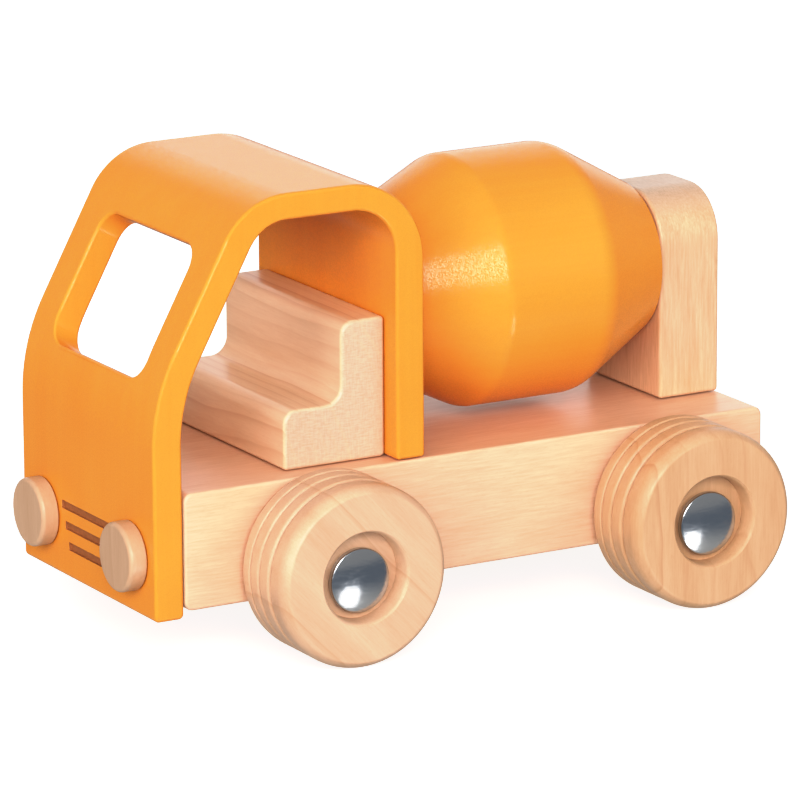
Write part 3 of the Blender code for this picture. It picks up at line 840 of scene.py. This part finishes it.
make_chassis()
make_cab()
make_seat()
make_support()
make_drum()
for side, sign in (("left", 1), ("right", -1)):
    make_headlight("headlight_" + side)
    for end in ("front", "rear"):
        make_wheel("%s_wheel_%s" % (end, side), sign)
        make_cap("%s_axle_cap_%s" % (end, side), end + "_axle_set", sign)
for name in NODES:
    if name.endswith("_axle"):
        give(name, AXLE_STEEL)
    elif "dowel" in name or name == "drum_spindle":
        give(name, DOWEL_WOOD)


# ------------------------------------------------------------------ floor, light and camera
TRUCK_MIDDLE = Vector((0, 0, 0.06))
FLOOR_WHITE = (0.90, 0.90, 0.90)
FLOOR_GLOW = 0.55

# The surround, as brightness: an even sky, a brighter backdrop behind the truck, and ground that is
# dim far off and paler close by.
SKY_LOW = 0.36
SKY_HIGH = 0.38
BACKDROP = 1.28
BACKDROP_AZIMUTH = 240
BACKDROP_ELEVATION = 17
FAR_BELOW = (0.19, 0.215, 0.25)
NEAR_BELOW = (0.50, 0.49, 0.47)
WHITE_BEHIND = (1.2, 1.2, 1.2)

CAMERA_TARGET = Vector((-0.00395, 0.00686, 0.05169))
CAMERA_AZIMUTH = 60.297
CAMERA_ELEVATION = 14.498
CAMERA_ROLL = math.radians(-0.30)
CAMERA_DISTANCE = 1.656
CAMERA_LENS = 271.9

# The tone curve, as (brightness, brightness shown) points.
TONE_POINTS = ((0.10, 0.075), (0.30, 0.30), (0.50, 0.575), (0.72, 0.875), (0.88, 0.93))


def make_floor():
    """A plain pale floor that gives a little light of its own."""
    look = Look("floor_look")
    look.shader.inputs["Base Color"].default_value = (*FLOOR_WHITE, 1)
    look.shader.inputs["Roughness"].default_value = 0.9
    look.shader.inputs["Emission Color"].default_value = (1, 1, 1, 1)
    look.shader.inputs["Emission Strength"].default_value = FLOOR_GLOW
    bpy.ops.mesh.primitive_plane_add(size=30)
    floor = bpy.context.object
    floor.name = "floor"
    floor.data.materials.append(look.material)
    floor.visible_glossy = False
    floor.visible_diffuse = False
    floor.visible_shadow = False


def direction(azimuth, elevation):
    """The way to a place seen from the truck: azimuth 0 is in front of it (-Y), 90 is on its left (+X)."""
    across, up = math.radians(azimuth), math.radians(elevation)
    return Vector((math.sin(across) * math.cos(up), -math.cos(across) * math.cos(up), math.sin(up)))


def softbox(name, azimuth, elevation, distance, size, power):
    """A soft light with a width and a height, facing the truck's middle."""
    data = bpy.data.lights.new(name, "AREA")
    data.shape = "RECTANGLE"
    data.size = size[0]
    data.size_y = size[1]
    data.energy = power
    light = bpy.data.objects.new(name, data)
    bpy.context.scene.collection.objects.link(light)
    away = direction(azimuth, elevation)
    light.location = TRUCK_MIDDLE + away * distance
    light.rotation_euler = away.to_track_quat("Z", "Y").to_euler()
    return light


def make_world():
    """A studio round the truck: an even sky, a pale backdrop behind it, and white for the camera."""
    world = bpy.data.worlds.new("studio")
    bpy.context.scene.world = world
    world.use_nodes = True
    tree = world.node_tree

    def made(kind, **settings):
        node = tree.nodes.new(kind)
        for key, value in settings.items():
            setattr(node, key, value)
        return node

    def ramp(value, low, high, to_low, to_high):
        node = made("ShaderNodeMapRange", interpolation_type="SMOOTHSTEP")
        for index, number in enumerate((low, high, to_low, to_high), 1):
            node.inputs[index].default_value = number
        tree.links.new(value, node.inputs[0])
        return node.outputs[0]

    def brightest(first, second):
        node = made("ShaderNodeMath", operation="MAXIMUM")
        tree.links.new(first, node.inputs[0])
        tree.links.new(second, node.inputs[1])
        return node.outputs[0]

    def mixed(factor, first, second):
        node = made("ShaderNodeMix", data_type="RGBA")
        tree.links.new(factor, node.inputs[0])
        for socket, value in ((node.inputs[6], first), (node.inputs[7], second)):
            if isinstance(value, tuple):
                socket.default_value = (*value, 1)
            else:
                tree.links.new(value, socket)
        return node.outputs[2]

    towards = made("ShaderNodeTexCoord").outputs["Generated"]
    parts = made("ShaderNodeSeparateXYZ")
    tree.links.new(towards, parts.inputs[0])
    height = parts.outputs["Z"]
    across = made("ShaderNodeVectorMath", operation="DOT_PRODUCT")
    tree.links.new(towards, across.inputs[0])
    across.inputs[1].default_value = direction(BACKDROP_AZIMUTH, BACKDROP_ELEVATION)
    sky = ramp(height, 0.10, 0.75, SKY_LOW, SKY_HIGH)
    backdrop = ramp(across.outputs["Value"], 0.80, 0.97, 0.0, BACKDROP)
    ground = mixed(ramp(height, -0.60, -0.25, 1.0, 0.0), FAR_BELOW, NEAR_BELOW)
    around = mixed(ramp(height, -0.06, 0.02, 0.0, 1.0), ground, brightest(sky, backdrop))
    camera_ray = made("ShaderNodeLightPath").outputs["Is Camera Ray"]
    tree.links.new(mixed(camera_ray, around, WHITE_BEHIND), tree.nodes["Background"].inputs["Color"])


def make_lights():
    """A key light from the left, a fill from the front, a side light, and a card for the caps alone."""
    softbox("key", 66, 22, 2.2, (1.2, 1.1), 31)
    fill = softbox("fill", 28, 16, 2.0, (1.2, 1.2), 20)
    side = softbox("side", 120, 15, 2.2, (1.0, 1.0), 9.5)
    fill.visible_glossy = False
    side.visible_glossy = False
    card = softbox("cap_card", 105, -30, 1.5, (0.34, 0.34), 2.4)
    card.visible_diffuse = False
    card.visible_camera = False


def make_camera():
    """A long lens on the truck's front left corner, a little above it."""
    data = bpy.data.cameras.new("camera")
    data.lens = CAMERA_LENS
    data.sensor_width = 36
    data.clip_start = 0.05
    data.clip_end = 100
    camera = bpy.data.objects.new("camera", data)
    bpy.context.scene.collection.objects.link(camera)
    back = direction(CAMERA_AZIMUTH, CAMERA_ELEVATION)
    camera.location = CAMERA_TARGET + back * CAMERA_DISTANCE
    turn = back.to_track_quat("Z", "Y").to_matrix() @ Matrix.Rotation(CAMERA_ROLL, 3, "Z")
    camera.rotation_euler = turn.to_euler()
    bpy.context.scene.camera = camera


def set_tones():
    """A print-like tone curve: a firm middle and a soft shoulder below white."""
    settings = bpy.context.scene.view_settings
    settings.view_transform = "Standard"
    settings.use_curve_mapping = True
    curve = settings.curve_mapping.curves[3]
    for bright, shown in TONE_POINTS:
        curve.points.new(bright, shown)
    settings.curve_mapping.update()


make_floor()
make_world()
make_lights()
make_camera()
set_tones()
